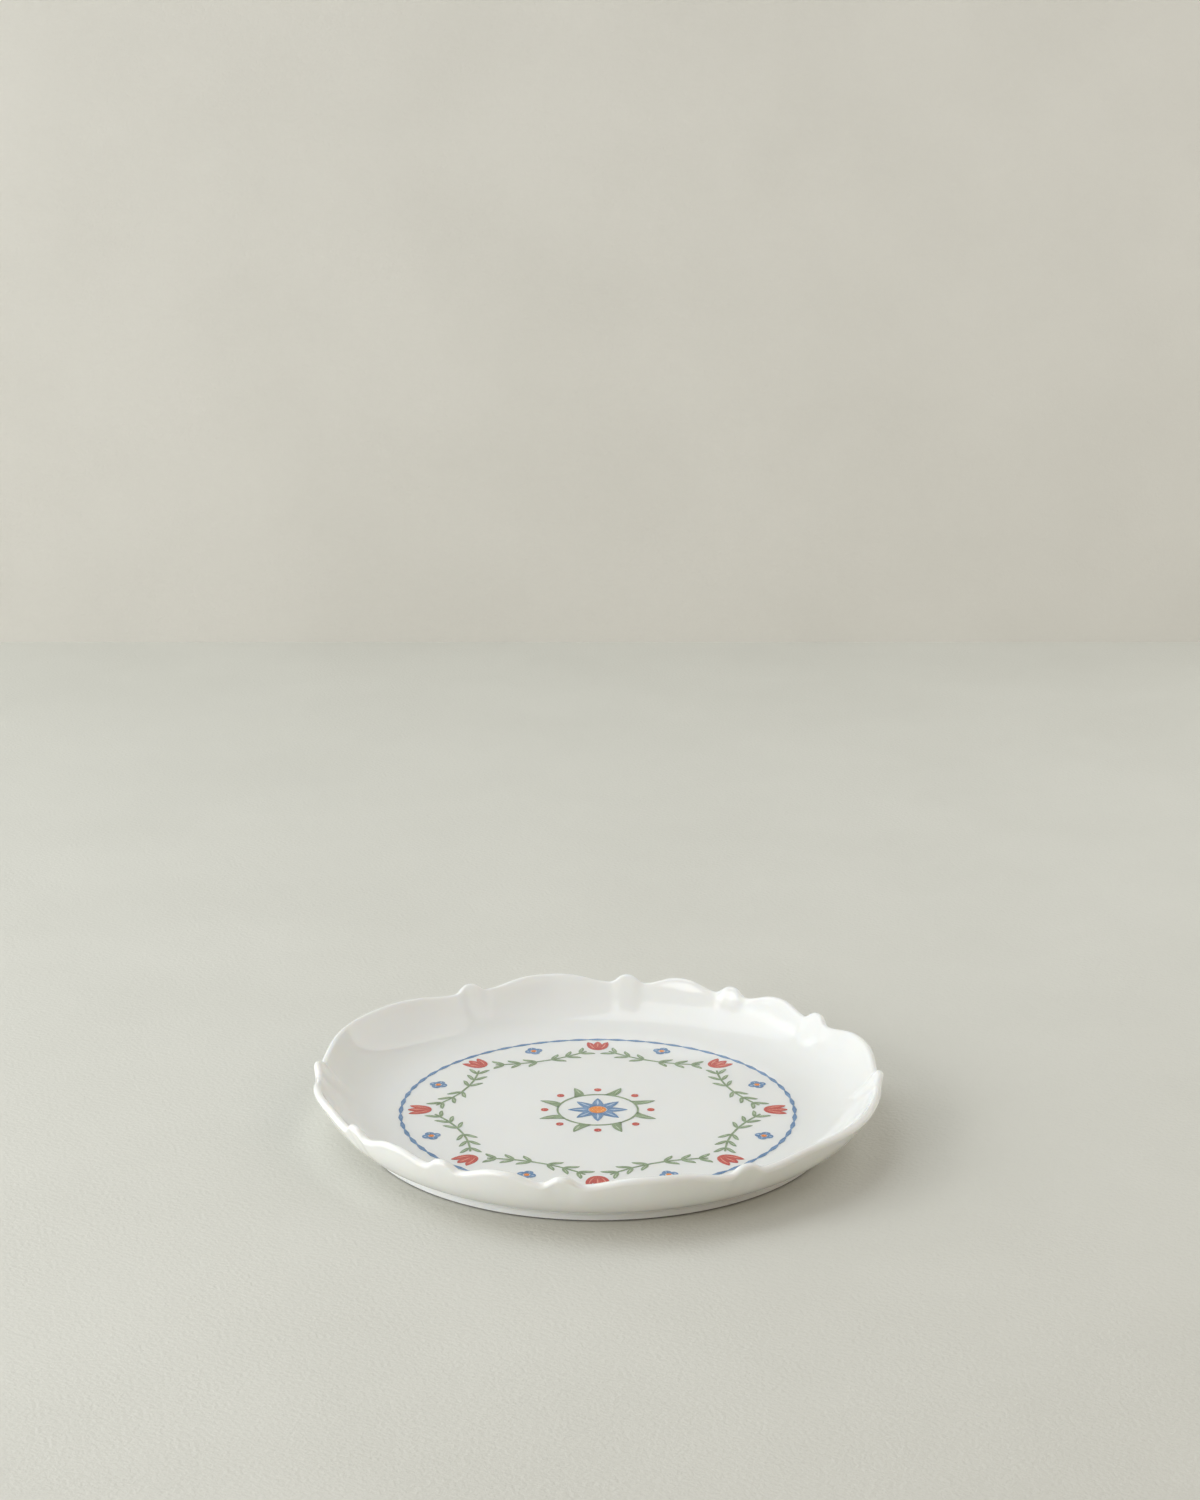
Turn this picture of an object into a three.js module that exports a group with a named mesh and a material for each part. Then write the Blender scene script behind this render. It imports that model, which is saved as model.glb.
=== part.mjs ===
import * as THREE from 'three';

// A porcelain cake plate with a scalloped and beaded rim, and transfer prints on its well.
// Millimetres and degrees. +Z is up, the plate stands on z = 0 and its axis is the Z axis.
// +X runs through the middle of the two long scallops.

// Rim: the lip's centre line runs from notch to notch on a slightly oval line
const notchSemiLength = 98.3;
const notchSemiWidth = 95.9;
const notchHeight = 17.8;
const lipThickness = 2.8;
const lipLean = 56;

// Scallops and beads: half angle seen from the axis, swell outwards and rise above the notches
const mediumHalfAngle = 14.3;
const shortHalfAngle = 8.65;
const beadHalfAngle = 3.8;
const longSwell = 2.1;
const mediumSwell = 1.6;
const shortSwell = 1;
const beadSwell = 0.95;
const longRise = 2.75;
const mediumRise = 2.95;
const shortRise = 2.95;
const beadRise = 2.85;

// Fullness of a crest: 1 is a plain wave, and more gives a broader top with steeper ends
const longFullness = 3.2;
const mediumFullness = 1.85;
const shortFullness = 1.3;
const beadFullness = 1.6;

// The notches are softened over this angle to each side
const rimSoftening = 0.5;

// Wall: its plan width, where its inner face springs from the floor, and its thickness there
const wallReach = 24.9;
const wellSpring = 16.5;
const bellyThickness = 4;
const bellyDrop = 0.25;

// The beads, and the bend of the wall under the scallops, die out by these powers of the way up it
const beadFade = 5;
const bendFade = 4;

// Well floor
const wellHeight = 5.75;
const floorThickness = 3.25;

// Foot ring, which stands outside the edge of the well floor
const footReach = 11.4;
const footHeight = 3.1;
const footTaper = 0.5;
const footEdgeRound = 0.8;
const bearingWidth = 3.3;
const recessFillet = 1.4;

// Transfer prints: film thickness, bare gap between colours, and the turn of the design
const filmThickness = 0.125;
const printGap = 0.4;
const printTurn = 31.6;

// Blue line inside the edge of the floor: a thread that swells into lozenges
const lineInset = 1.7;
const lineThread = 0.45;
const lozengeWidth = 1.7;
const lozengeCount = 60;

// Border: buds where leafy swags meet, with a floret over each swag
const borderCount = 8;
const budInset = 1.6;
const budWidth = 7.6;
const budHeight = 8.4;
const budNotch = 3;
const budPoint = 0.5;
const swagDrop = 1.2;
const swagGap = 0.6;
const swagSag = 6;
const stemWidth = 0.7;
const leafletPairs = 3;
const leafletReach = 3.5;
const leafletRise = 3.7;
const leafletRoot = 1;
const leafletWidth = 2.2;
const floretInset = 6.4;
const floretSize = 6.6;
const eyeSize = 1.8;

// Centre: a rosette in a leaf wreath with berries
const petalCount = 8;
const rosetteSize = 21;
const petalValley = 11;
const discSize = 6;
const wreathSize = 29;
const wreathThread = 0.7;
const wreathLeafLength = 7.5;
const wreathLeafWidth = 4.4;
const wreathLeafRoot = 1.4;
const berryRise = 4.2;
const berrySize = 2.6;

// Facets
const longSteps = 12;
const mediumSteps = 8;
const shortSteps = 6;
const beadSteps = 6;
const outerWallSteps = [0.22, 0.42, 0.6, 0.74, 0.87, 1];
const innerWallSteps = [1, 0.87, 0.74, 0.6, 0.46, 0.32, 0.16, 0];
const lipSteps = 6;
const roundSteps = 2;
const curveSteps = 4;
const leafletSteps = 2;
const circleSteps = 12;

const porcelain = new THREE.MeshStandardMaterial({ color: 0xf1f1ec, roughness: 0.12, metalness: 0 });
const blueEnamel = new THREE.MeshStandardMaterial({ color: 0x5f88b4, roughness: 0.25, metalness: 0 });
const redEnamel = new THREE.MeshStandardMaterial({ color: 0xc6483f, roughness: 0.25, metalness: 0 });
const greenEnamel = new THREE.MeshStandardMaterial({ color: 0x86a184, roughness: 0.25, metalness: 0 });
const orangeEnamel = new THREE.MeshStandardMaterial({ color: 0xe88a35, roughness: 0.25, metalness: 0 });

const radians = THREE.MathUtils.degToRad;
const fullTurn = 2 * Math.PI;
const quarterTurn = 90;

// Places that follow from the sizes above
const wellRadius = notchSemiWidth - wallReach;
const footRadius = wellRadius + footReach;
const recessHeight = wellHeight - floorThickness;
const crease = new THREE.Vector2(footRadius - footTaper, footHeight);
const wellEdge = new THREE.Vector2(wellRadius, wellHeight);
const innerSpring = new THREE.Vector2(wellRadius + wellSpring, wellHeight);
const outerSpring = new THREE.Vector2(innerSpring.x + bellyThickness, innerSpring.y - bellyDrop);
const lineRadius = wellRadius - lineInset;
const lineInside = lineRadius - lozengeWidth / 2;
const budBaseRadius = lineInside - budInset - budHeight;
const floretRadius = lineInside - floretInset;

// The long scallops take what the other elements leave of a quarter turn.
const longHalfAngle = quarterTurn - 5 * beadHalfAngle - 2 * mediumHalfAngle - 2 * shortHalfAngle;

const longScallop = {
  halfAngle: longHalfAngle, swell: longSwell, rise: longRise, fullness: longFullness, steps: longSteps,
};
const mediumScallop = {
  halfAngle: mediumHalfAngle, swell: mediumSwell, rise: mediumRise, fullness: mediumFullness, steps: mediumSteps,
};
const shortScallop = {
  halfAngle: shortHalfAngle, swell: shortSwell, rise: shortRise, fullness: shortFullness, steps: shortSteps,
};
const bead = {
  halfAngle: beadHalfAngle, swell: beadSwell, rise: beadRise, fullness: beadFullness, steps: beadSteps,
};

// Half a turn of the rim, from the end of one long scallop to the end of the other.
const halfRim = [
  bead, mediumScallop, bead, shortScallop, bead,
  shortScallop, bead, mediumScallop, bead, longScallop,
];

// Height of a crest over its element, where across runs from -1 to 1.
function crest(across, fullness) {
  return 1 - Math.abs(Math.sin(across * Math.PI / 2)) ** (2 * fullness);
}

// Radius of the oval notch line at an angle.
function notchRadius(angle) {
  const x = notchSemiWidth * Math.cos(angle);
  const y = notchSemiLength * Math.sin(angle);
  return notchSemiLength * notchSemiWidth / Math.hypot(x, y);
}

// The elements of the whole rim, each with the angle of its middle.
function placeElements() {
  const placed = [];
  let start = longHalfAngle;
  for (const element of [...halfRim, ...halfRim]) {
    placed.push({ element, middle: start + element.halfAngle });
    start += 2 * element.halfAngle;
  }
  return placed;
}

const rimElements = placeElements();

// Relief of the rim over its notch line at an angle in degrees: swell and rise, by scallops and by beads.
function sharpRelief(degrees) {
  const relief = { scallop: new THREE.Vector2(), bead: new THREE.Vector2() };
  for (const { element, middle } of rimElements) {
    const past = THREE.MathUtils.euclideanModulo(degrees - middle + 2 * quarterTurn, 4 * quarterTurn);
    const across = (past - 2 * quarterTurn) / element.halfAngle;
    if (Math.abs(across) < 1) {
      const part = element === bead ? relief.bead : relief.scallop;
      part.set(element.swell * crest(across, 1), element.rise * crest(across, element.fullness));
    }
  }
  return relief;
}

// The same relief with its notches softened.
function softRelief(degrees) {
  const offsets = [-1, -0.5, 0, 0.5, 1];
  const relief = { scallop: new THREE.Vector2(), bead: new THREE.Vector2() };
  for (const offset of offsets) {
    const sharp = sharpRelief(degrees + offset * rimSoftening);
    relief.scallop.addScaledVector(sharp.scallop, 1 / offsets.length);
    relief.bead.addScaledVector(sharp.bead, 1 / offsets.length);
  }
  return relief;
}

// Stations round the rim, each with its angle, its place on the notch line, and its relief.
// They lie closer together near the notches.
function rimStations() {
  const stations = [];
  for (const { element, middle } of rimElements) {
    for (let step = 0; step < element.steps; step += 1) {
      const across = Math.sin((step / element.steps - 0.5) * Math.PI);
      const degrees = middle + across * element.halfAngle;
      const angle = radians(degrees);
      const notch = new THREE.Vector2(notchRadius(angle), notchHeight);
      stations.push({ angle, notch, relief: softRelief(degrees) });
    }
  }
  return stations;
}

// Points of a round from one angle to another, both ends included.
function arcPoints(centre, radius, fromAngle, toAngle, steps) {
  const points = [];
  for (let step = 0; step <= steps; step += 1) {
    const angle = radians(THREE.MathUtils.lerp(fromAngle, toAngle, step / steps));
    points.push(new THREE.Vector2(
      centre.x + radius * Math.cos(angle),
      centre.y + radius * Math.sin(angle),
    ));
  }
  return points;
}

// Foot ring in section, from the recess under the floor to the crease below the wall.
function footSection() {
  const bearingOuter = footRadius - footEdgeRound;
  const bearingInner = bearingOuter - bearingWidth;
  const fillet = Math.min(recessFillet, recessHeight - footEdgeRound);
  const filletCentre = new THREE.Vector2(bearingInner - footEdgeRound - fillet, recessHeight - fillet);
  const innerRound = new THREE.Vector2(bearingInner, footEdgeRound);
  const outerRound = new THREE.Vector2(bearingOuter, footEdgeRound);
  return [
    ...arcPoints(filletCentre, fillet, quarterTurn, 0, roundSteps),
    ...arcPoints(innerRound, footEdgeRound, 2 * quarterTurn, 3 * quarterTurn, roundSteps),
    ...arcPoints(outerRound, footEdgeRound, 3 * quarterTurn, 4 * quarterTurn, roundSteps),
    crease,
  ];
}

// Wall in section at one station: up the outside, round the lip and down to the well floor.
// A scallop draws the wall out along its own slope. The rest of its relief bends the wall near the lip.
function wallSection({ notch, relief }) {
  const lipRadius = lipThickness / 2;
  const lipSlope = radians(lipLean);
  const upLip = new THREE.Vector2(Math.cos(lipSlope), Math.sin(lipSlope));
  const acrossLip = new THREE.Vector2(-upLip.y, upLip.x);
  const outerFace = new THREE.QuadraticBezierCurve(
    crease, outerSpring, notch.clone().addScaledVector(acrossLip, -lipRadius),
  );
  const innerFace = new THREE.QuadraticBezierCurve(
    wellEdge, innerSpring, notch.clone().addScaledVector(acrossLip, lipRadius),
  );
  const drawn = relief.scallop.dot(upLip);
  const bent = relief.scallop.dot(acrossLip);
  const facePoint = (face, t) => {
    const toLipSlope = lipSlope - face.getTangent(1).angle();
    const slope = face.getTangent(t).angle() + toLipSlope * t ** 2;
    const upWall = new THREE.Vector2(Math.cos(slope), Math.sin(slope));
    const acrossWall = new THREE.Vector2(-upWall.y, upWall.x);
    return face.getPoint(t)
      .addScaledVector(upWall, drawn * t ** 2)
      .addScaledVector(acrossWall, bent * t ** bendFade)
      .addScaledVector(relief.bead, t ** beadFade);
  };
  const lipCentre = notch.clone().add(relief.scallop).add(relief.bead);
  const lipRound = arcPoints(lipCentre, lipRadius, lipLean - quarterTurn, lipLean + quarterTurn, lipSteps);
  return [
    ...outerWallSteps.map((t) => facePoint(outerFace, t)),
    ...lipRound.slice(1, -1),
    ...innerWallSteps.map((t) => facePoint(innerFace, t)),
  ];
}

// Closed solid through the sections, which all have the same number of points, with a pole at each end.
function loftGeometry(sections, bottomHeight, topHeight) {
  const positions = [0, 0, bottomHeight, 0, 0, topHeight];
  const indices = [];
  const bottomPole = 0;
  const topPole = 1;
  const firstRing = 2;
  const pointCount = sections[0].points.length;
  for (const { angle, points } of sections) {
    for (const point of points) {
      positions.push(point.x * Math.cos(angle), point.x * Math.sin(angle), point.y);
    }
  }
  sections.forEach((section, index) => {
    const here = firstRing + index * pointCount;
    const next = firstRing + ((index + 1) % sections.length) * pointCount;
    indices.push(bottomPole, next, here);
    for (let point = 0; point < pointCount - 1; point += 1) {
      indices.push(here + point, next + point, next + point + 1);
      indices.push(here + point, next + point + 1, here + point + 1);
    }
    indices.push(topPole, here + pointCount - 1, next + pointCount - 1);
  });
  const geometry = new THREE.BufferGeometry();
  geometry.setAttribute('position', new THREE.Float32BufferAttribute(positions, 3));
  geometry.setIndex(indices);
  geometry.computeVertexNormals();
  return geometry;
}

// The porcelain body.
function makeDish() {
  const foot = footSection();
  const sections = rimStations().map((station) => ({
    angle: station.angle,
    points: [...foot, ...wallSection(station)],
  }));
  const dish = new THREE.Mesh(loftGeometry(sections, recessHeight, wellHeight), porcelain);
  dish.name = 'dish';
  return dish;
}

// A flat film of one colour, lying on the plane z = 0.
function makeFilm(name, shape, material, curveSegments = curveSteps) {
  const options = { depth: filmThickness, bevelEnabled: false, curveSegments };
  const film = new THREE.Mesh(new THREE.ExtrudeGeometry(shape, options), material);
  film.name = name;
  return film;
}

// Points of a closed outline given by its radius at each angle.
function polarPoints(radiusAt, count) {
  const points = [];
  for (let index = 0; index < count; index += 1) {
    const angle = fullTurn * index / count;
    const radius = radiusAt(angle);
    points.push(new THREE.Vector2(radius * Math.cos(angle), radius * Math.sin(angle)));
  }
  return points;
}

function circlePoints(diameter, count = circleSteps) {
  return polarPoints(() => diameter / 2, count);
}

// Blue line: its two edges part at each lozenge and close to the thread between them.
function lineShape() {
  const edge = (side) => {
    const points = [];
    for (let index = 0; index < 2 * lozengeCount; index += 1) {
      const angle = Math.PI * index / lozengeCount;
      const width = index % 2 === 0 ? lozengeWidth : lineThread;
      const radius = lineRadius + side * width / 2;
      points.push(new THREE.Vector2(radius * Math.cos(angle), radius * Math.sin(angle)));
    }
    return points;
  };
  const shape = new THREE.Shape(edge(1));
  shape.holes.push(new THREE.Path(edge(-1)));
  return shape;
}

// Bud with three points. Its base is at the origin and it opens along +Y.
function budShape() {
  const half = budWidth / 2;
  const valleyAcross = half * 0.42;
  const valley = budHeight - budNotch;
  const sidePoint = budHeight - budPoint;
  const shape = new THREE.Shape();
  shape.moveTo(0, 0);
  shape.bezierCurveTo(half, 0, half * 1.2, valley, half, sidePoint);
  shape.quadraticCurveTo(half * 0.55, sidePoint - budPoint, valleyAcross, valley);
  shape.quadraticCurveTo(half * 0.28, sidePoint, 0, budHeight);
  shape.quadraticCurveTo(-half * 0.28, sidePoint, -valleyAcross, valley);
  shape.quadraticCurveTo(-half * 0.55, sidePoint - budPoint, -half, sidePoint);
  shape.bezierCurveTo(-half * 1.2, valley, -half, 0, 0, 0);
  return shape;
}

// Swag: a sagging stem whose leaflets point from its middle to its ends. It hangs across +Y, about the origin.
function swagShape() {
  const half = stemWidth / 2;
  const endRadius = budBaseRadius - swagDrop;
  const endInset = swagGap + (leafletReach + leafletRise) / 2;
  const endAngle = Math.PI / borderCount - endInset / endRadius;
  const end = new THREE.Vector2(endRadius * Math.sin(endAngle), endRadius * Math.cos(endAngle));
  const mirrored = (point) => new THREE.Vector2(-point.x, point.y);
  const lowest = new THREE.Vector2(0, 2 * (endRadius - swagSag) - end.y);
  const stem = new THREE.QuadraticBezierCurve(mirrored(end), lowest, end);

  // A point beside the stem, on its outer side (1) or its inner side (-1).
  const beside = (t, side, across, along) => {
    const tangent = stem.getTangent(t);
    const normal = new THREE.Vector2(-tangent.y, tangent.x).multiplyScalar(side);
    return stem.getPoint(t).addScaledVector(normal, across).addScaledVector(tangent, along);
  };

  // The leaflets on one side of the right half, from the middle to the end.
  const leafletsOn = (side) => {
    const leaflets = [];
    const middleAcross = half + leafletReach / 2;
    const middleAlong = (leafletRise + leafletRoot) / 2;
    for (let pair = 0; pair < leafletPairs; pair += 1) {
      const t = (1 + (pair + 0.5) / leafletPairs) / 2;
      leaflets.push([
        beside(t, side, half, 0),
        beside(t, side, middleAcross, middleAlong - leafletWidth),
        beside(t, side, half + leafletReach, leafletRise + leafletRoot / 2),
        beside(t, side, middleAcross, middleAlong + leafletWidth),
        beside(t, side, half, leafletRoot),
      ]);
    }
    return leaflets;
  };

  const shape = new THREE.Shape();
  const addLeaflet = ([root, control, tip, otherControl, otherRoot]) => {
    shape.lineTo(root.x, root.y);
    shape.quadraticCurveTo(control.x, control.y, tip.x, tip.y);
    shape.quadraticCurveTo(otherControl.x, otherControl.y, otherRoot.x, otherRoot.y);
  };
  const backwards = (leaflets) => leaflets.map((leaflet) => [...leaflet].reverse()).reverse();
  const onTheLeft = (leaflets) => leaflets.map((leaflet) => leaflet.map(mirrored));
  const outer = leafletsOn(1);
  const inner = leafletsOn(-1);
  const outerEnd = beside(1, 1, half, 0);
  const innerEnd = beside(1, -1, half, 0);
  shape.moveTo(-outerEnd.x, outerEnd.y);
  backwards(onTheLeft(outer)).forEach(addLeaflet);
  outer.forEach(addLeaflet);
  shape.lineTo(outerEnd.x, outerEnd.y);
  shape.lineTo(innerEnd.x, innerEnd.y);
  backwards(inner).forEach(addLeaflet);
  onTheLeft(inner).forEach(addLeaflet);
  shape.lineTo(-innerEnd.x, innerEnd.y);
  shape.closePath();
  return shape;
}

// Floret of four round petals, open in the middle for its eye.
function floretShape() {
  const petals = 4;
  const hole = eyeSize + 2 * printGap;
  const valley = (hole + floretSize) / 4;
  const depth = floretSize / 2 - valley;
  const petal = (angle) => valley + depth * Math.abs(Math.cos(petals * angle / 2));
  const shape = new THREE.Shape(polarPoints(petal, 2 * circleSteps));
  shape.holes.push(new THREE.Path(circlePoints(hole)));
  return shape;
}

// Rosette of pointed petals, open in the middle for its disc.
function rosetteShape() {
  const pointsPerPetal = 8;
  const valley = petalValley / 2;
  const depth = rosetteSize / 2 - valley;
  const petal = (angle) => valley + depth * (1 - Math.abs(Math.sin(petalCount * angle / 2))) ** 0.75;
  const shape = new THREE.Shape(polarPoints(petal, petalCount * pointsPerPetal));
  shape.holes.push(new THREE.Path(circlePoints(discSize + 2 * printGap, 2 * circleSteps)));
  return shape;
}

// Wreath: a thin ring with leaves standing out from it, between the rosette's petals.
function wreathShape() {
  const ring = wreathSize / 2;
  const step = fullTurn / petalCount;
  const rootAngle = wreathLeafRoot / 2 / ring;
  const belly = ring + wreathLeafLength / 2;
  const bellyAngle = wreathLeafWidth / 2 / belly;
  const at = (radius, angle) => [radius * Math.cos(angle), radius * Math.sin(angle)];
  const shape = new THREE.Shape();
  shape.moveTo(...at(ring, step / 2 - rootAngle));
  for (let index = 0; index < petalCount; index += 1) {
    const middle = step * (index + 0.5);
    const leafEnd = middle + rootAngle;
    const nextLeaf = middle + step - rootAngle;
    shape.quadraticCurveTo(...at(belly, middle - bellyAngle), ...at(ring + wreathLeafLength, middle));
    shape.quadraticCurveTo(...at(belly, middle + bellyAngle), ...at(ring, leafEnd));
    shape.absarc(0, 0, ring, leafEnd, nextLeaf, false);
  }
  const inside = circlePoints(wreathSize - 2 * wreathThread, 4 * petalCount);
  shape.holes.push(new THREE.Path(inside));
  return shape;
}

// Places a film at a radius and an angle, with its +Y pointing outwards.
function placeOutwards(film, radius, angle) {
  film.position.set(radius * Math.cos(angle), radius * Math.sin(angle), 0);
  film.rotation.z = angle - Math.PI / 2;
  return film;
}

// Border transfers, all round the well.
function makeBorder() {
  const border = new THREE.Group();
  const step = fullTurn / borderCount;
  const eyeShape = new THREE.Shape(circlePoints(eyeSize));
  for (let index = 0; index < borderCount; index += 1) {
    const number = index + 1;
    const budAngle = step * index;
    const floretAngle = step * (index + 0.5);
    const bud = makeFilm(`border_bud_${number}`, budShape(), redEnamel);
    const swag = makeFilm(`border_swag_${number}`, swagShape(), greenEnamel, leafletSteps);
    const floret = makeFilm(`border_floret_${number}`, floretShape(), blueEnamel);
    const eye = makeFilm(`border_eye_${number}`, eyeShape, orangeEnamel);
    border.add(
      placeOutwards(bud, budBaseRadius, budAngle),
      placeOutwards(swag, 0, floretAngle),
      placeOutwards(floret, floretRadius, floretAngle),
      placeOutwards(eye, floretRadius, floretAngle),
    );
  }
  return border;
}

// Centre transfers.
function makeCentre() {
  const centre = new THREE.Group();
  const discShape = new THREE.Shape(circlePoints(discSize, 2 * circleSteps));
  const berryShape = new THREE.Shape(circlePoints(berrySize));
  centre.add(
    makeFilm('centre_rosette', rosetteShape(), blueEnamel),
    makeFilm('centre_disc', discShape, orangeEnamel),
    makeFilm('centre_wreath', wreathShape(), greenEnamel),
  );
  for (let index = 0; index < petalCount; index += 1) {
    const berry = makeFilm(`centre_berry_${index + 1}`, berryShape, redEnamel);
    centre.add(placeOutwards(berry, wreathSize / 2 + berryRise, fullTurn * index / petalCount));
  }
  return centre;
}

// All films lie on the well floor, and the design is turned as one.
function makePrints() {
  const prints = new THREE.Group();
  prints.add(makeFilm('edge_line', lineShape(), blueEnamel), makeBorder(), makeCentre());
  prints.position.z = wellHeight;
  prints.rotation.z = radians(printTurn);
  return prints;
}

const plate = new THREE.Group();
plate.name = 'cake_plate';
plate.add(makeDish(), makePrints());

export default plate;
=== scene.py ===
"""Looks of a porcelain cake plate with a scalloped, beaded rim and a transfer print on its well.

Lengths are in metres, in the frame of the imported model: +Z is up, the foot ring stands on z = 0
and +X runs through the middle of the two long scallops.
"""

import logging
import math
from dataclasses import dataclass
from enum import Enum
from typing import Callable, Iterable, NamedTuple

import bpy
import numpy as np
from mathutils import Euler, Matrix, Vector


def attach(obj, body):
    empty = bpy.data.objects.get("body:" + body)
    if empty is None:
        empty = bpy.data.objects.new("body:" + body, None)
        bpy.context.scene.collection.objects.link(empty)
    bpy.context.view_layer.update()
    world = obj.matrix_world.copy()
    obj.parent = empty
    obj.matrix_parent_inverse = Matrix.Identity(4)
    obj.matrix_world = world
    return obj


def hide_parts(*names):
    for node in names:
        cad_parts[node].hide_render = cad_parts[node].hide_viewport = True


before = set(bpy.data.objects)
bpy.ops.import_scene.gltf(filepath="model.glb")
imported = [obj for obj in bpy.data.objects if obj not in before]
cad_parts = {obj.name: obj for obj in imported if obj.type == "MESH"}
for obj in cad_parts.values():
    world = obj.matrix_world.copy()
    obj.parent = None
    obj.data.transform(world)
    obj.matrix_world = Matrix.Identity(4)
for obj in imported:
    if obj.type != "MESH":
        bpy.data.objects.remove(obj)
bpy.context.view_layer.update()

MM = 0.001
TOUCHING = MM / 1000
FULL_TURN = 2 * math.pi
BODY = "root"
LOG = logging.getLogger("cake_plate")

Point = tuple[float, float]
Range = tuple[float, float]
Colour = tuple[float, float, float]

# From a screen value to a linear one: straight below the knee, a power above it
SCREEN_KNEE = 0.04045
SCREEN_SLOPE = 12.92
SCREEN_OFFSET = 0.055
SCREEN_POWER = 2.4


# Small helpers for work by hand


def deselect_all() -> None:
    """Leave nothing selected, so that an operator acts on new work alone."""
    if bpy.context.object and bpy.context.object.mode != "OBJECT":
        bpy.ops.object.mode_set(mode="OBJECT")
    bpy.ops.object.select_all(action="DESELECT")


def pick(piece: bpy.types.Object) -> None:
    """Select one object alone and make it the active one.

    Args:
        piece: The object to select.
    """
    deselect_all()
    piece.select_set(True)
    bpy.context.view_layer.objects.active = piece


def apply_modifier(piece: bpy.types.Object, kind: str, **settings: object) -> None:
    """Add a modifier with its settings and apply it.

    Args:
        piece: The object to change.
        kind: Blender's name for the kind of modifier.
        **settings: Values of the modifier's own settings.
    """
    pick(piece)
    modifier = piece.modifiers.new(kind.title(), kind)
    for name, value in settings.items():
        setattr(modifier, name, value)
    bpy.ops.object.modifier_apply(modifier=modifier.name)


def polar(radius: float, angle: float) -> Point:
    """Flat point at a radius and an angle."""
    return radius * math.cos(angle), radius * math.sin(angle)


def from_hex(code: int) -> Colour:
    """Linear colour of a screen colour.

    Args:
        code: Red, green and blue, two hexadecimal digits each.

    Returns:
        The colour as a shader takes it.
    """
    channels = ((code >> shift & 255) / 255 for shift in (16, 8, 0))
    red, green, blue = (
        value / SCREEN_SLOPE
        if value <= SCREEN_KNEE
        else ((value + SCREEN_OFFSET) / (1 + SCREEN_OFFSET)) ** SCREEN_POWER
        for value in channels
    )
    return red, green, blue


# Finishes


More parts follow.
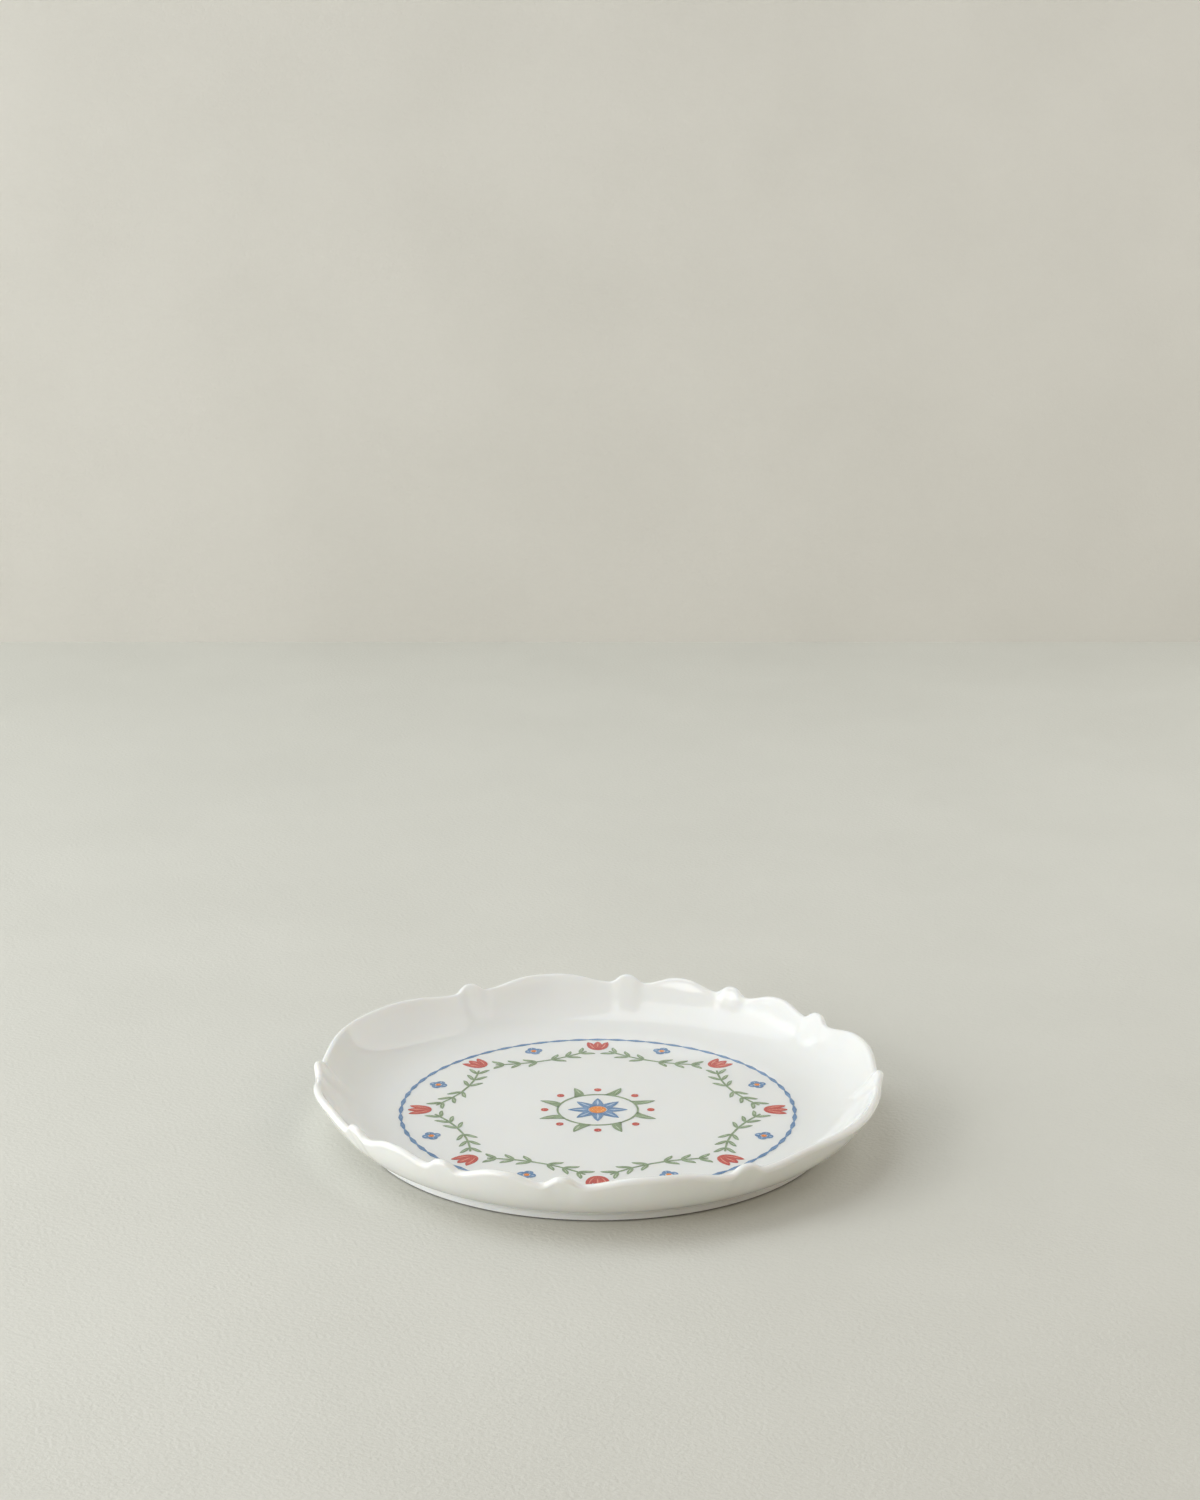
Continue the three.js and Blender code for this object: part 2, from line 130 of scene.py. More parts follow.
class NodeSheet:
    """A material under construction: one Principled shader and the nodes that feed it."""

    # Places of the sockets that a Mix node uses for colours
    MIX_SHARE = 0
    MIX_FIRST = 6
    MIX_SECOND = 7
    MIX_RESULT = 2

    def __init__(self, name: str) -> None:
        """Start a material with a bare shader.

        Args:
            name: Name of the material.
        """
        self.material = bpy.data.materials.new(name)
        self.material.use_nodes = True
        self.tree = self.material.node_tree
        self.shader = next(node for node in self.tree.nodes if node.type == "BSDF_PRINCIPLED")
        self.place = self.tree.nodes.new("ShaderNodeTexCoord").outputs["Object"]

    def set(self, **values: object) -> None:
        """Set constant sockets of the shader, with underscores for the spaces in their names."""
        for name, value in values.items():
            self.shader.inputs[name.replace("_", " ")].default_value = value

    def feed(self, socket: str, source: bpy.types.NodeSocket) -> None:
        """Link a source to a socket of the shader."""
        self.tree.links.new(source, self.shader.inputs[socket])

    def noise(self, size: float, detail: float = 2.0) -> bpy.types.NodeSocket:
        """Cloudy value from 0 to 1.

        Args:
            size: Rough size of a cloud, in metres.
            detail: Layers of finer clouds.

        Returns:
            The socket with the value.
        """
        node = self.tree.nodes.new("ShaderNodeTexNoise")
        node.inputs["Scale"].default_value = 1 / size
        node.inputs["Detail"].default_value = detail
        self.tree.links.new(self.place, node.inputs["Vector"])
        return node.outputs["Fac"]

    def spread(self, value: bpy.types.NodeSocket, low: float, high: float, start: float = 0.35,
               end: float = 0.65) -> bpy.types.NodeSocket:
        """Map a value from one range to another.

        Args:
            value: The socket to map.
            low: Result at the start of the range.
            high: Result at the end of the range.
            start: Where the range starts.
            end: Where the range ends.

        Returns:
            The socket with the mapped value.
        """
        node = self.tree.nodes.new("ShaderNodeMapRange")
        node.inputs["From Min"].default_value = start
        node.inputs["From Max"].default_value = end
        node.inputs["To Min"].default_value = low
        node.inputs["To Max"].default_value = high
        self.tree.links.new(value, node.inputs["Value"])
        return node.outputs["Result"]

    def blend(self, share: bpy.types.NodeSocket, first: Colour | bpy.types.NodeSocket,
              second: Colour) -> bpy.types.NodeSocket:
        """Mix two colours.

        Args:
            share: Socket with the share of the second colour.
            first: A colour, or a socket that holds one.
            second: The other colour.

        Returns:
            The socket with the mixed colour.
        """
        node = self.tree.nodes.new("ShaderNodeMix")
        node.data_type = "RGBA"
        self.tree.links.new(share, node.inputs[self.MIX_SHARE])
        if isinstance(first, bpy.types.NodeSocket):
            self.tree.links.new(first, node.inputs[self.MIX_FIRST])
        else:
            node.inputs[self.MIX_FIRST].default_value = (*first, 1)
        node.inputs[self.MIX_SECOND].default_value = (*second, 1)
        return node.outputs[self.MIX_RESULT]

    def height(self) -> bpy.types.NodeSocket:
        """Height of the shaded point above the table.

        Returns:
            The socket with the height, in metres.
        """
        node = self.tree.nodes.new("ShaderNodeSeparateXYZ")
        self.tree.links.new(self.place, node.inputs["Vector"])
        return node.outputs["Z"]

    def product(self, first: bpy.types.NodeSocket,
                second: bpy.types.NodeSocket) -> bpy.types.NodeSocket:
        """Multiply two values.

        Args:
            first: Socket with one value.
            second: Socket with the other.

        Returns:
            The socket with the product.
        """
        node = self.tree.nodes.new("ShaderNodeMath")
        node.operation = "MULTIPLY"
        self.tree.links.new(first, node.inputs[0])
        self.tree.links.new(second, node.inputs[1])
        return node.outputs["Value"]

    def bump(self, value: bpy.types.NodeSocket, depth: float) -> None:
        """Raise the surface by a value.

        Args:
            value: Socket with a height from 0 to 1.
            depth: Height of the full range, in metres.
        """
        node = self.tree.nodes.new("ShaderNodeBump")
        node.inputs["Distance"].default_value = depth
        node.inputs["Strength"].default_value = 1
        self.tree.links.new(value, node.inputs["Height"])
        self.feed("Normal", node.outputs["Normal"])


@dataclass(frozen=True)
class Glaze:
    """Clear gloss glaze over white porcelain. Round the crease over the foot it is painted darker and a
    little greener: painted shade, with the tint of thicker glaze.
    """

    white: Colour = (0.830, 0.844, 0.830)
    shade: Colour = (0.814, 0.829, 0.815)
    # Darker, slightly greener colour of the band round the crease over the foot: painted shade, with a
    # glaze tint
    pooled_and_shaded: Colour = (0.740, 0.759, 0.734)
    cloud_size: float = 45 * MM
    ripple_size: float = 22 * MM
    ripple_depth: float = 0.008 * MM
    roughness: Range = (0.025, 0.045)
    roughness_size: float = 20 * MM
    refraction: float = 1.5
    # Height, half width and strength of that band: painted shade in the crease over the foot
    pool_and_shade_height: float = 3.1 * MM
    pool_and_shade_reach: float = 1.4 * MM
    pool_and_shade_share: float = 0.6
    glow_share: float = 0.4
    glow_depth: float = 3.5 * MM
    glow_reach: Colour = (1.0, 0.85, 0.65)

    def material(self) -> bpy.types.Material:
        """Make the glaze.

        Returns:
            The new material.
        """
        sheet = NodeSheet("glaze")
        clouds = sheet.spread(sheet.noise(self.cloud_size), 0, 1)
        body = sheet.blend(clouds, self.white, self.shade)
        # Mix towards the darker colour in a band round the crease over the foot: painted shade, with a
        # glaze tint
        pool_and_shade_foot = self.pool_and_shade_height - self.pool_and_shade_reach
        pool_and_shade_top = self.pool_and_shade_height + self.pool_and_shade_reach
        below = sheet.spread(sheet.height(), 0, self.pool_and_shade_share, pool_and_shade_foot, self.pool_and_shade_height)
        above = sheet.spread(sheet.height(), 1, 0, self.pool_and_shade_height, pool_and_shade_top)
        sheet.feed("Base Color", sheet.blend(sheet.product(below, above), body, self.pooled_and_shaded))
        sheet.feed("Roughness", sheet.spread(sheet.noise(self.roughness_size), *self.roughness))
        sheet.bump(sheet.noise(self.ripple_size, detail=1), self.ripple_depth)
        sheet.set(IOR=self.refraction, Subsurface_Weight=self.glow_share)
        sheet.set(Subsurface_Scale=self.glow_depth, Subsurface_Radius=self.glow_reach)
        return sheet.material


@dataclass(frozen=True)
class BiscuitWithPaintedShade:
    """Bare fired clay where the foot ring was wiped clean of glaze, darkened far below bare porcelain as
    painted contact shade under the foot.
    """

    # Both colours are much darker than bare porcelain: painted contact shade along the foot's lower
    # edge, over the clay's own grain
    pale: Colour = (0.200, 0.191, 0.178)
    dark: Colour = (0.140, 0.133, 0.124)
    roughness: Range = (0.7, 0.9)
    grain_size: float = 0.5 * MM
    grain_depth: float = 0.04 * MM
    grain_detail: float = 4.0

    def material(self) -> bpy.types.Material:
        """Make the bare clay, darkened as painted contact shade.

        Returns:
            The new material.
        """
        sheet = NodeSheet("biscuit_with_painted_shade")
        grain = sheet.noise(self.grain_size, self.grain_detail)
        sheet.feed("Base Color", sheet.blend(sheet.spread(grain, 0, 1), self.pale, self.dark))
        sheet.feed("Roughness", sheet.spread(grain, *self.roughness))
        sheet.bump(grain, self.grain_depth)
        return sheet.material


@dataclass(frozen=True)
class Enamel:
    """Printed on-glaze colour, laid a little unevenly and fired to a satin gloss."""

    name: str
    colour: Colour
    thin: Colour
    blot_size: float = 2.4 * MM
    blot_detail: float = 4.0
    blot_range: Range = (0.4, 0.72)
    roughness: Range = (0.16, 0.28)
    grain_size: float = 0.35 * MM
    grain_depth: float = 0.01 * MM
    coat_share: float = 0.3
    coat_roughness: float = 0.08

    def material(self) -> bpy.types.Material:
        """Make the enamel.

        Returns:
            The new material.
        """
        sheet = NodeSheet(self.name)
        clouds = sheet.noise(self.blot_size, self.blot_detail)
        blots = sheet.spread(clouds, 0, 1, *self.blot_range)
        sheet.feed("Base Color", sheet.blend(blots, self.colour, self.thin))
        grain = sheet.noise(self.grain_size)
        sheet.feed("Roughness", sheet.spread(grain, *self.roughness))
        sheet.bump(grain, self.grain_depth)
        sheet.set(Coat_Weight=self.coat_share, Coat_Roughness=self.coat_roughness)
        return sheet.material


@dataclass(frozen=True)
class Plaster:
    """Plain matt finish of the stage, a little cloudy and grainy."""

    name: str
    colour: Colour
    shade: Colour
    cloud_size: float = 90 * MM
    grain_size: float = 1.6 * MM
    grain_depth: float = 0.25 * MM
    detail: float = 3.0
    roughness: float = 0.9
    gloss: float = 0.2

    def material(self) -> bpy.types.Material:
        """Make the plaster.

        Returns:
            The new material.
        """
        sheet = NodeSheet(self.name)
        clouds = sheet.spread(sheet.noise(self.cloud_size, self.detail), 0, 1)
        sheet.feed("Base Color", sheet.blend(clouds, self.colour, self.shade))
        sheet.bump(sheet.noise(self.grain_size, self.detail), self.grain_depth)
        sheet.set(Roughness=self.roughness, Specular_IOR_Level=self.gloss)
        return sheet.material


class Ink(Enum):
    """The colours of the print, with the colour where each is laid thin."""

    BLUE = Enamel("blue_enamel", from_hex(0x527CA8), from_hex(0x7598C0))
    RED = Enamel("red_enamel", from_hex(0xB83A34), from_hex(0xC95648))
    GREEN = Enamel("green_enamel", from_hex(0x788F6C), from_hex(0x93A888))
    ORANGE = Enamel("orange_enamel", from_hex(0xE67F20), from_hex(0xEE9A48))
    PALE_BLUE = Enamel("pale_blue_enamel", from_hex(0xA6BED8), from_hex(0xBDCFE4))
    PALE_RED = Enamel("pale_red_enamel", from_hex(0xDC8472), from_hex(0xE6A090))
    PALE_GREEN = Enamel("pale_green_enamel", from_hex(0xAEBFA2), from_hex(0xC2CFB8))
    PALE_ORANGE = Enamel("pale_orange_enamel", from_hex(0xF6C878), from_hex(0xFBE0AE))


class InkPot:
    """Makes each ink's material once."""

    def __init__(self) -> None:
        """Start with no material made."""
        self.made: dict[Ink, bpy.types.Material] = {}

    def material(self, ink: Ink) -> bpy.types.Material:
        """Give the material of an ink, made when it is first asked for.

        Args:
            ink: The ink.

        Returns:
            Its material.
        """
        if ink not in self.made:
            self.made[ink] = ink.value.material()
        return self.made[ink]


# The porcelain body


class SectionPoint(NamedTuple):
    """Point of the dish's section, with its share of the way up the wall and the wall's slope there."""

    radius: float
    height: float
    share: float = 0.0
    slope: float = 0.0


@dataclass(frozen=True)
class RimElement:
    """One wave of the rim: half its angle in degrees, its swell outwards, its rise and its fullness."""

    half_angle: float
    swell: float
    rise: float
    fullness: float
    is_bead: bool = False

    def crest(self, across: np.ndarray, fullness: float) -> np.ndarray:
        """Height of the crest, from 0 to 1, where across runs from -1 to 1 and is cut off beyond."""
        inside = np.clip(across, -1, 1)
        return 1 - np.abs(np.sin(inside * math.pi / 2)) ** (2 * fullness)

    def relief(self, across: np.ndarray) -> np.ndarray:
        """Outward and upward shift of the lip.

        Args:
            across: Places across the element.

        Returns:
            A row of two shifts for each place.
        """
        swell = self.swell * self.crest(across, 1)
        rise = self.rise * self.crest(across, self.fullness)
        return np.stack([swell, rise], axis=1)


@dataclass
class Dish:
    """The fired body: foot ring, well and wall with its scalloped and beaded lip."""

    notch_semi_length: float = 98.3 * MM
    notch_semi_width: float = 95.9 * MM
    notch_height: float = 17.8 * MM
    lip_thickness: float = 2.8 * MM
    lip_lean: float = 56.0

    wall_reach: float = 24.9 * MM
    well_spring: float = 16.5 * MM
    belly_thickness: float = 4.0 * MM
    belly_drop: float = 0.25 * MM
    bead_fade: int = 5
    bend_fade: int = 4

    well_height: float = 5.75 * MM
    floor_thickness: float = 3.25 * MM
    foot_reach: float = 11.4 * MM
    foot_height: float = 3.1 * MM
    foot_taper: float = 0.5 * MM
    foot_edge_round: float = 0.8 * MM
    # Below this height, down-facing faces get the darkened bare clay: the wiped foot, and painted
    # contact shade
    wiped_and_shaded_height: float = 0.55 * MM
    bearing_width: float = 3.3 * MM
    recess_fillet: float = 1.4 * MM
    crease_round: float = 1.5 * MM
    crease_wall_steps: float = 1.5

    medium: RimElement = RimElement(14.3, 1.6 * MM, 2.95 * MM, 1.85)
    short: RimElement = RimElement(8.65, 1.0 * MM, 2.95 * MM, 1.3)
    bead: RimElement = RimElement(3.8, 0.95 * MM, 2.85 * MM, 1.6, is_bead=True)
    long_swell: float = 2.1 * MM
    long_rise: float = 2.75 * MM
    long_fullness: float = 3.2
    rim_softening: float = 0.5

    turn_steps: int = 720
    floor_rings: int = 4
    round_steps: int = 6
    outer_wall_steps: int = 22
    lip_steps: int = 12
    inner_wall_steps: int = 28
    softening_steps: int = 5

    @property
    def well_radius(self) -> float:
        """Radius of the flat well floor."""
        return self.notch_semi_width - self.wall_reach

    @property
    def foot_radius(self) -> float:
        """Outer radius of the foot ring."""
        return self.well_radius + self.foot_reach

    def rim_elements(self) -> list[RimElement]:
        """List the rim's waves, from the end of one long scallop.

        Returns:
            The waves of the whole turn, in order.
        """
        others = 5 * self.bead.half_angle + 2 * self.medium.half_angle + 2 * self.short.half_angle
        long = RimElement(90 - others, self.long_swell, self.long_rise, self.long_fullness)
        half_turn = [
            self.bead, self.medium, self.bead, self.short, self.bead,
            self.short, self.bead, self.medium, self.bead, long,
        ]
        return half_turn * 2

    def arc(self, centre: Point, radius: float, start: float, end: float, steps: int) -> list[Point]:
        """Points of a round in the section.

        Args:
            centre: Centre of the round, as radius and height.
            radius: Radius of the round.
            start: Angle of its first point, in degrees.
            end: Angle of its last point, in degrees.
            steps: Number of steps between them.

        Returns:
            The points, with both ends.
        """
        angles = [math.radians(start + (end - start) * step / steps) for step in range(steps + 1)]
        return [(centre[0] + radius * math.cos(a), centre[1] + radius * math.sin(a)) for a in angles]

    def curve(self, start: Point, control: Point, end: Point, share: float) -> Point:
        """Find a point of a curve in the section.

        Args:
            start: Where the curve starts.
            control: The point that pulls it.
            end: Where it ends.
            share: Share of the way along it.

        Returns:
            The point.
        """
        rest = 1 - share
        weights = (rest * rest, 2 * rest * share, share * share)
        radius = sum(w * p[0] for w, p in zip(weights, (start, control, end)))
        height = sum(w * p[1] for w, p in zip(weights, (start, control, end)))
        return radius, height

    def floor_points(self, radius: float, height: float) -> list[SectionPoint]:
        """Points of a flat floor from the axis outwards, without its edge."""
        rings = range(self.floor_rings)
        return [SectionPoint(radius * ring / self.floor_rings, height) for ring in rings]

    def foot_points(self) -> list[SectionPoint]:
        """Draw the section under the plate.

        Returns:
            Its points, from the axis to just below the crease over the foot.
        """
        recess_height = self.well_height - self.floor_thickness
        bearing_outer = self.foot_radius - self.foot_edge_round
        bearing_inner = bearing_outer - self.bearing_width
        recess_radius = bearing_inner - self.foot_edge_round
        fillet_centre = (recess_radius - self.recess_fillet, recess_height - self.recess_fillet)
        edge = self.foot_edge_round
        rounds = [
            *self.arc(fillet_centre, self.recess_fillet, 90, 0, self.round_steps),
            *self.arc((bearing_inner, edge), edge, 180, 270, self.round_steps),
            *self.arc((bearing_outer, edge), edge, 270, 360, self.round_steps),
        ]
        return [*self.floor_points(fillet_centre[0], recess_height), *(SectionPoint(*p) for p in rounds)]

    def wall_points(self) -> list[SectionPoint]:
        """Draw the section of the wall over a notch.

        Returns:
            Its points, up the outside, round the lip and down to the well floor.
        """
        lip_round = self.lip_thickness / 2
        lip_slope = math.radians(self.lip_lean)
        lean = self.lip_lean - 90
        lip = (self.notch_semi_width, self.notch_height)
        lip_arc = self.arc(lip, lip_round, lean, lean + 180, self.lip_steps)
        crease = (self.foot_radius - self.foot_taper, self.foot_height)
        well_edge = (self.well_radius, self.well_height)
        inner_spring = (self.well_radius + self.well_spring, self.well_height)
        outer_spring = (inner_spring[0] + self.belly_thickness, inner_spring[1] - self.belly_drop)

        def face_point(start: Point, control: Point, end: Point, share: float) -> SectionPoint:
            """Find a point of one face of the wall, with its slope turned to the lip's at the top.

            Args:
                start: Foot of the face.
                control: The point that pulls its curve.
                end: Its edge at the lip.
                share: Share of the way up it.

            Returns:
                The point.
            """
            place = self.curve(start, control, end, share)
            before = [a + (b - a) * share for a, b in zip(start, control)]
            after = [a + (b - a) * share for a, b in zip(control, end)]
            slope = math.atan2(after[1] - before[1], after[0] - before[0])
            end_slope = math.atan2(end[1] - control[1], end[0] - control[0])
            return SectionPoint(*place, share, slope + (lip_slope - end_slope) * share ** 2)

        def outer_point(share: float) -> SectionPoint:
            """Point of the outside at a share of the way up."""
            return face_point(crease, outer_spring, lip_arc[0], share)

        def inner_point(share: float) -> SectionPoint:
            """Point of the inside at a share of the way up."""
            return face_point(well_edge, inner_spring, lip_arc[-1], share)

        first_share = self.crease_wall_steps / self.outer_wall_steps
        taper_share = self.crease_round / (self.foot_height - self.foot_edge_round)
        below_crease = (crease[0] + self.foot_taper * taper_share, crease[1] - self.crease_round)
        above_crease = outer_point(first_share)[:2]
        crease_points = [
            SectionPoint(*self.curve(below_crease, crease, above_crease, step / self.round_steps))
            for step in range(self.round_steps)
        ]
        outer_shares = np.linspace(first_share, 1, self.outer_wall_steps)
        inner_shares = np.linspace(1, 0, self.inner_wall_steps)
        return [
            *crease_points,
            *(outer_point(float(share)) for share in outer_shares),
            *(SectionPoint(*p, 1, lip_slope) for p in lip_arc[1:-1]),
            *(inner_point(float(share)) for share in inner_shares),
        ]

    def section(self) -> list[SectionPoint]:
        """Whole section over a notch, from the axis below to the axis above."""
        well_floor = self.floor_points(self.well_radius, self.well_height)
        return [*self.foot_points(), *self.wall_points(), *reversed(well_floor)]

    def spin_section(self, section: list[SectionPoint]) -> bpy.types.Object:
        """Draw the section vertex by vertex and spin it round the axis.

        Args:
            section: Points of the section.

        Returns:
            The plain round dish.
        """
        deselect_all()
        bpy.ops.mesh.primitive_plane_add(size=MM)
        dish = bpy.context.object
        dish.name = "porcelain_dish"
        bpy.ops.object.mode_set(mode="EDIT")
        bpy.ops.mesh.merge(type="CENTER")
        places = [Vector((point.radius, 0, point.height)) for point in section]
        bpy.ops.transform.translate(value=places[0])
        for before, after in zip(places, places[1:]):
            bpy.ops.mesh.extrude_vertices_move(TRANSFORM_OT_translate={"value": after - before})
        bpy.ops.mesh.select_all(action="SELECT")
        bpy.ops.mesh.spin(steps=self.turn_steps, angle=FULL_TURN, center=(0, 0, 0), axis=(0, 0, 1))
        bpy.ops.mesh.select_all(action="SELECT")
        bpy.ops.mesh.remove_doubles(threshold=TOUCHING)
        bpy.ops.mesh.normals_make_consistent(inside=False)
        bpy.ops.object.mode_set(mode="OBJECT")
        return dish

    def oval_shift(self, angles: np.ndarray) -> np.ndarray:
        """Outward shift of the oval notch line from its smallest circle."""
        length, width = self.notch_semi_length, self.notch_semi_width
        return length * width / np.hypot(width * np.cos(angles), length * np.sin(angles)) - width

    def sharp_relief(self, degrees: np.ndarray) -> np.ndarray:
        """Shift of the lip from the notch line, with sharp notches.

        Args:
            degrees: Angles round the axis, in degrees.

        Returns:
            The outward and upward shifts by the scallops, and those by the beads.
        """
        scallops_and_beads = np.zeros((2, len(degrees), 2))
        elements = self.rim_elements()
        start = elements[-1].half_angle
        for element in elements:
            middle = start + element.half_angle
            away = (degrees - middle + 180) % 360 - 180
            scallops_and_beads[int(element.is_bead)] += element.relief(away / element.half_angle)
            start += 2 * element.half_angle
        return scallops_and_beads

    def rim_relief(self, angles: np.ndarray) -> np.ndarray:
        """Shift of the lip from the notch line, with the notches and crests softened.

        Args:
            angles: Angles round the axis, in radians.

        Returns:
            The outward and upward shifts by the scallops, and those by the beads.
        """
        degrees = np.degrees(angles)
        offsets = np.linspace(-self.rim_softening, self.rim_softening, self.softening_steps)
        return np.mean([self.sharp_relief(degrees + offset) for offset in offsets], axis=0)

    def raise_rim(self, dish: bpy.types.Object, section: list[SectionPoint]) -> None:
        """Draw the round wall out into the oval, its scallops and its beads.

        A scallop draws the wall out along its own slope, so that the wall stays smooth below it. What is
        left of the lip's shift bends the wall near the lip.

        Args:
            dish: The plain round dish.
            section: The section it was spun from.
        """
        count = len(dish.data.vertices)
        places = np.empty(count * 3)
        dish.data.vertices.foreach_get("co", places)
        places = places.reshape(count, 3)
        radius = np.hypot(places[:, 0], places[:, 1])
        angles = np.arctan2(places[:, 1], places[:, 0])
        section_radius, section_height, section_share, section_slope = np.array(section).T
        nearest = np.array([
            np.argmin((section_radius - out) ** 2 + (section_height - up) ** 2)
            for out, up in zip(radius, places[:, 2])
        ])
        share = section_share[nearest][:, np.newaxis]
        slope = section_slope[nearest]
        lip_slope = math.radians(self.lip_lean)
        scallops, beads = self.rim_relief(angles)
        along = scallops @ np.array([[math.cos(lip_slope)], [math.sin(lip_slope)]])
        across = scallops @ np.array([[-math.sin(lip_slope)], [math.cos(lip_slope)]])
        shift = beads * share ** self.bead_fade
        shift += along * share ** 2 * np.stack([np.cos(slope), np.sin(slope)], axis=1)
        shift += across * share ** self.bend_fade * np.stack([-np.sin(slope), np.cos(slope)], axis=1)
        new_radius = radius + shift[:, 0] + self.oval_shift(angles) * share[:, 0] ** 2
        moved = np.stack([
            new_radius * np.cos(angles),
            new_radius * np.sin(angles),
            places[:, 2] + shift[:, 1],
        ], axis=1)
        dish.data.vertices.foreach_set("co", moved.ravel())
        dish.data.update()

    def dress(self, dish: bpy.types.Object) -> None:
        """Glaze the dish, apart from the down-facing faces of the foot up into the lower part of its
        edge round, which get the bare clay with painted contact shade.

        Args:
            dish: The finished mesh.
        """
        dish.data.materials.append(Glaze().material())
        dish.data.materials.append(BiscuitWithPaintedShade().material())
        # Down-facing faces low on the foot get the bare clay, darkened as painted contact shade
        for face in dish.data.polygons:
            face.material_index = int(face.center.z < self.wiped_and_shaded_height and face.normal.z < 0)
        pick(dish)
        bpy.ops.object.shade_smooth()

    def build(self) -> bpy.types.Object:
        """Model and dress the dish.

        Returns:
            The finished piece.
        """
        section = self.section()
        dish = self.spin_section(section)
        self.raise_rim(dish, section)
        self.dress(dish)
        return dish


# The print


class Outline:
    """A closed flat outline, drawn point by point, anticlockwise."""

    def __init__(self, start: Point, curve_steps: int = 8) -> None:
        """Start at a point, with a number of steps for each curve."""
        self.points = [start]
        self.curve_steps = curve_steps

    def line_to(self, end: Point) -> "Outline":
        """Draw a straight line."""
        self.points.append(end)
        return self

    def curve_to(self, *controls: Point) -> "Outline":
        """Draw a curve.

        Args:
            *controls: One or two control points, and the end.

        Returns:
            The outline itself.
        """
        handles = [np.array(point) for point in (self.points[-1], *controls)]
        for step in range(1, self.curve_steps + 1):
            share = step / self.curve_steps
            level = handles
            while len(level) > 1:
                level = [a + (b - a) * share for a, b in zip(level, level[1:])]
            self.points.append((float(level[0][0]), float(level[0][1])))
        return self

    def leaf(self, root: Point, side: Point, tip: Point, far_side: Point, far_root: Point) -> "Outline":
        """Draw a leaf from one root through its tip to the other, with its sides as control points."""
        return self.line_to(root).curve_to(side, tip).curve_to(far_side, far_root)

    def closed(self) -> list[Point]:
        """Points of the outline, without a doubled last one."""
        gap = math.dist(self.points[0], self.points[-1])
        return self.points[:-1] if gap < TOUCHING else self.points


def ring_points(radius_at: Callable[[float], float], count: int) -> list[Point]:
    """Closed outline given by its radius at each angle.

    Args:
        radius_at: Radius at an angle in radians.
        count: Number of points.

    Returns:
        The points, anticlockwise.
    """
    angles = [FULL_TURN * index / count for index in range(count)]
    return [polar(radius_at(angle), angle) for angle in angles]


def circle_points(radius: float, count: int) -> list[Point]:
    """Circle about the origin, with a number of points."""
    return ring_points(lambda angle: radius, count)


def stroke_points(start: Point, end: Point, width: float, bow: float = 0.0) -> list[Point]:
    """Brush stroke that tapers to both ends.

    Args:
        start: Where the stroke begins.
        end: Where it ends.
        width: Its greatest width.
        bow: How far its middle bends to the left.

    Returns:
        The points of its outline, anticlockwise.
    """
    along = Vector(end) - Vector(start)
    across = Vector((-along.y, along.x)).normalized()
    middle = Vector(start) + along / 2 + across * bow
    left = tuple(middle + across * width)
    right = tuple(middle - across * width)
    return Outline(start).curve_to(right, end).curve_to(left, start).closed()


def radial_stroke(start: float, end: float, angle: float, width: float) -> list[Point]:
    """Brush stroke at an angle, from one distance from the origin to another."""
    return stroke_points(polar(start, angle), polar(end, angle), width)


def mirrored(points: Iterable[Point]) -> list[Point]:
    """Points with left and right exchanged."""
    return [(-x, y) for x, y in points]


def turned(points: Iterable[Point], angle: float, shift: Point = (0.0, 0.0)) -> list[Point]:
    """Points moved, then turned about the origin.

    Args:
        points: The points to place.
        angle: Turn in radians.
        shift: Move before the turn.

    Returns:
        The placed points.
    """
    rotation = Matrix.Rotation(angle, 2)
    return [tuple(rotation @ (Vector(point) + Vector(shift))) for point in points]


